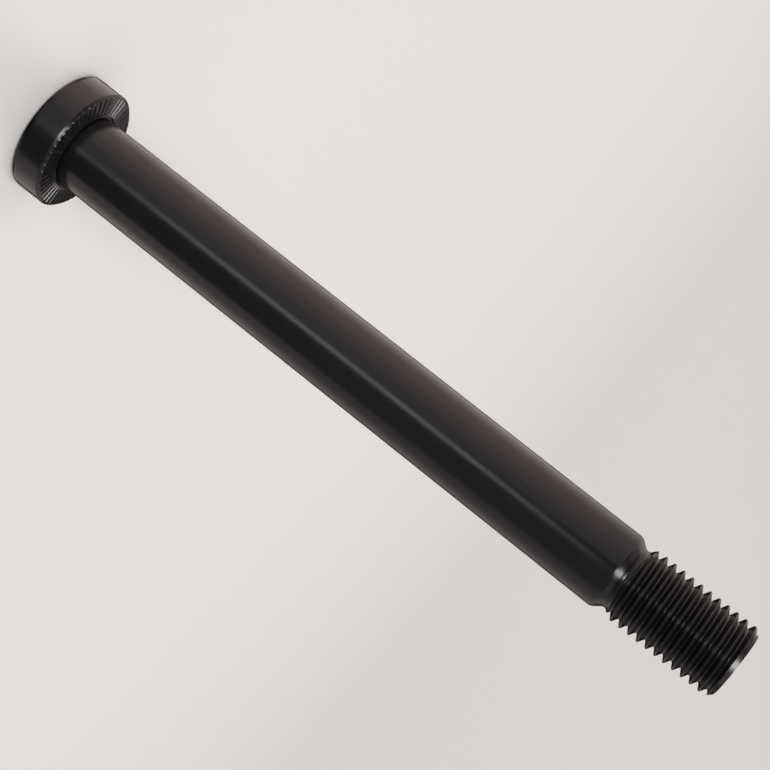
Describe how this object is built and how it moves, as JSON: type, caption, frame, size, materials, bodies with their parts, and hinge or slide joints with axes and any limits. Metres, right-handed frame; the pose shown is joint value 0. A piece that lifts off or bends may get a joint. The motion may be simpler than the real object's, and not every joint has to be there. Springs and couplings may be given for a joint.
{
  "type": "bicycle thru axle",
  "caption": "One-piece black anodised thru axle: a round head with a toothed clamp face, a long plain shaft and a fine-threaded end, turned by a hex key in the head.",
  "frame": {"origin": "centre of the head's outer face, on which the axle stands", "axes": "+Z along the axle from the head to the threaded tip; X and Y across it, with two corners of the key socket on X"},
  "size_m": [0.02, 0.02, 0.1255],
  "materials": {
    "anodised_bar": "satin black anodised"
  },
  "bodies": {
    "root": {"thru_axle": "anodised_bar"}
  },
  "joints": []
}
